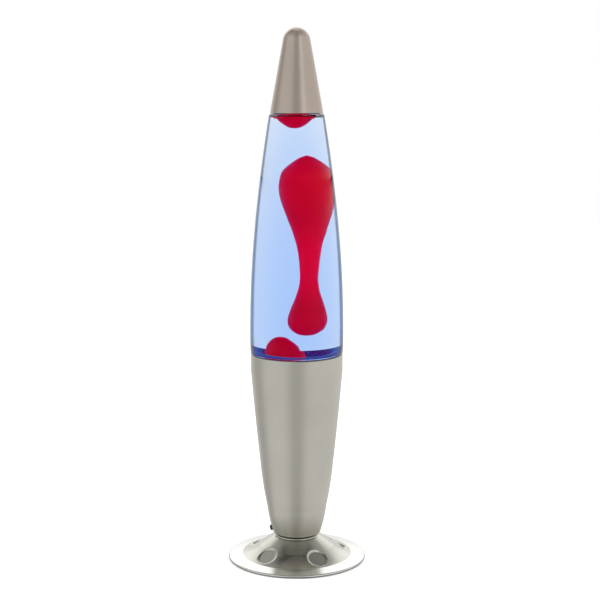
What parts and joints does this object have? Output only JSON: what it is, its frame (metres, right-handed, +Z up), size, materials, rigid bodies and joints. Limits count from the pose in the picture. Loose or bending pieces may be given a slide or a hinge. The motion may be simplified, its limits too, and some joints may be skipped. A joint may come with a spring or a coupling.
{
  "type": "lava lamp",
  "caption": "Motion lamp: spun metal foot and tulip base with a reflector bulb, sealed glass globe of blue liquid and red wax, lift-off metal cap.",
  "frame": {"origin": "middle of the face that the lamp stands on", "axes": "+Z up along the lamp's axis, the side with two whole dimples to the front at -Y, the cord gland at -X"},
  "size_m": [0.107, 0.107, 0.41],
  "materials": {
    "spun_metal": "satin champagne silver",
    "foam": "matt foam",
    "zinc": "zinc plated",
    "black_fibre": "matt",
    "black_rubber": "soft matt",
    "black_moulding": "semi gloss thermoset",
    "ceramic_core": "unglazed",
    "brass": "plain",
    "solder": "dull",
    "black_glass": "glassy",
    "nickel": "nickel plated",
    "bulb_clear": "clear",
    "tungsten": "drawn wire",
    "globe_clear": "clear, polished",
    "blue_liquid": "clear blue liquid",
    "steel_wire": "bright wire",
    "liner_plastic": "soft liner",
    "tinplate": "tinplate",
    "red_wax": "translucent red wax"
  },
  "bodies": {
    "base": {"foot_dish": "spun_metal", "foot_pad": "foam", "nipple_nuts": "zinc", "lock_washer": "zinc", "neck_washer": "black_fibre", "mounting_nipple": "zinc", "base_cone": "spun_metal", "cord_gland": "black_rubber", "lampholder_base": "black_moulding", "lampholder_core": "ceramic_core", "lampholder_sleeve": "black_moulding", "lampholder_shell": "brass", "lampholder_contact": "brass", "terminal_screws": "zinc"},
    "bulb": {"bulb_contact": "solder", "bulb_insulator": "black_glass", "bulb_screw_cap": "nickel", "bulb_glass": "bulb_clear", "bulb_stem": "bulb_clear", "bulb_filament": "tungsten"},
    "globe": {"globe_bottle": "globe_clear", "liquid": "blue_liquid", "wire_coil": "steel_wire", "crown_liner": "liner_plastic", "crown_cap": "tinplate"},
    "top_wax": {"wax_top": "red_wax"},
    "drop_wax": {"wax_drop": "red_wax"},
    "mound_wax": {"wax_mound": "red_wax"},
    "cap": {"cap_shell": "spun_metal"}
  },
  "joints": [
    {"name": "globe_lift", "type": "slide", "parent": "base", "child": "globe", "axis": [0, 0, 1], "range_m": [0, 0.06]},
    {"name": "cap_lift", "type": "slide", "parent": "globe", "child": "cap", "axis": [0, 0, 1], "range_m": [0, 0.06]},
    {"name": "bulb_unscrew", "type": "slide", "parent": "base", "child": "bulb", "axis": [0, 0, 1], "range_m": [0, 0.0099]},
    {"name": "top_wax_fall", "type": "slide", "parent": "globe", "child": "top_wax", "axis": [0, 0, 1], "range_m": [-0.006, 0], "deforming": ["liquid"]},
    {"name": "drop_wax_drift", "type": "slide", "parent": "globe", "child": "drop_wax", "axis": [0, 0, 1], "range_m": [-0.003, 0.01], "deforming": ["liquid"]},
    {"name": "mound_wax_rise", "type": "slide", "parent": "globe", "child": "mound_wax", "axis": [0, 0, 1], "range_m": [0, 0.003], "deforming": ["liquid"]}
  ]
}
